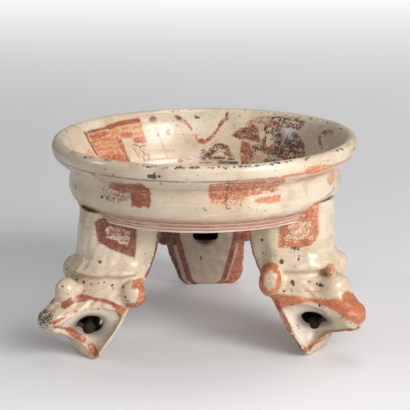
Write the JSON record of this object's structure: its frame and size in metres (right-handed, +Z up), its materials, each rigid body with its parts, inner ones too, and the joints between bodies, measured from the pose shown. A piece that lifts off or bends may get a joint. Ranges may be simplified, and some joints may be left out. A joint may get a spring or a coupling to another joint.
{
  "type": "tripod bowl",
  "caption": "Round pottery bowl with an everted rim on a tripod of hollow legs shaped as animal heads, with loose pellets that rattle inside the legs.",
  "frame": {"origin": "on the ground, under the middle of the whole outline", "axes": "+Z up out of the bowl; +Y towards the rear leg; +X to the right as seen from the front, between the two front legs"},
  "size_m": [0.1956, 0.2176, 0.1259],
  "materials": {
    "cream_slip": "burnished cream slip with worn red and orange painting, satin",
    "orange_slip": "burnished orange slip worn to the cream one, satin",
    "fired_clay": "bare fired clay, matte"
  },
  "bodies": {
    "fired_vessel": {"bowl_base": "cream_slip", "bowl_wall": "cream_slip", "rim_coil": "cream_slip", "left_leg_shell": "cream_slip", "left_leg_snout": "orange_slip", "left_leg_nose": "cream_slip", "left_leg_brow": "cream_slip", "left_leg_ear_l": "orange_slip", "left_leg_ear_r": "orange_slip", "right_leg_shell": "cream_slip", "right_leg_snout": "orange_slip", "right_leg_nose": "cream_slip", "right_leg_brow": "cream_slip", "right_leg_ear_l": "orange_slip", "right_leg_ear_r": "orange_slip", "rear_leg_shell": "cream_slip", "rear_leg_snout": "orange_slip", "rear_leg_nose": "cream_slip", "rear_leg_brow": "cream_slip", "rear_leg_ear_l": "orange_slip", "rear_leg_ear_r": "orange_slip"},
    "left_pellet_1": {"left_leg_pellet_1": "fired_clay"},
    "left_pellet_2": {"left_leg_pellet_2": "fired_clay"},
    "right_pellet_1": {"right_leg_pellet_1": "fired_clay"},
    "right_pellet_2": {"right_leg_pellet_2": "fired_clay"},
    "rear_pellet_1": {"rear_leg_pellet_1": "fired_clay"},
    "rear_pellet_2": {"rear_leg_pellet_2": "fired_clay"}
  },
  "joints": [
    {"name": "left_pellet_1_slide", "type": "slide", "parent": "fired_vessel", "child": "left_pellet_1", "axis": [0.3351, 0.3125, 0.8889], "range_m": [0, 0.038]},
    {"name": "left_pellet_2_slide", "type": "slide", "parent": "fired_vessel", "child": "left_pellet_2", "axis": [0.3351, 0.3125, 0.8889], "range_m": [0, 0.038]},
    {"name": "right_pellet_1_slide", "type": "slide", "parent": "fired_vessel", "child": "right_pellet_1", "axis": [-0.2545, 0.2589, 0.9318], "range_m": [0, 0.038]},
    {"name": "right_pellet_2_slide", "type": "slide", "parent": "fired_vessel", "child": "right_pellet_2", "axis": [-0.2545, 0.2589, 0.9318], "range_m": [0, 0.038]},
    {"name": "rear_pellet_1_slide", "type": "slide", "parent": "fired_vessel", "child": "rear_pellet_1", "axis": [0, -0.4472, 0.8944], "range_m": [0, 0.038]},
    {"name": "rear_pellet_2_slide", "type": "slide", "parent": "fired_vessel", "child": "rear_pellet_2", "axis": [0, -0.4472, 0.8944], "range_m": [0, 0.038]}
  ]
}
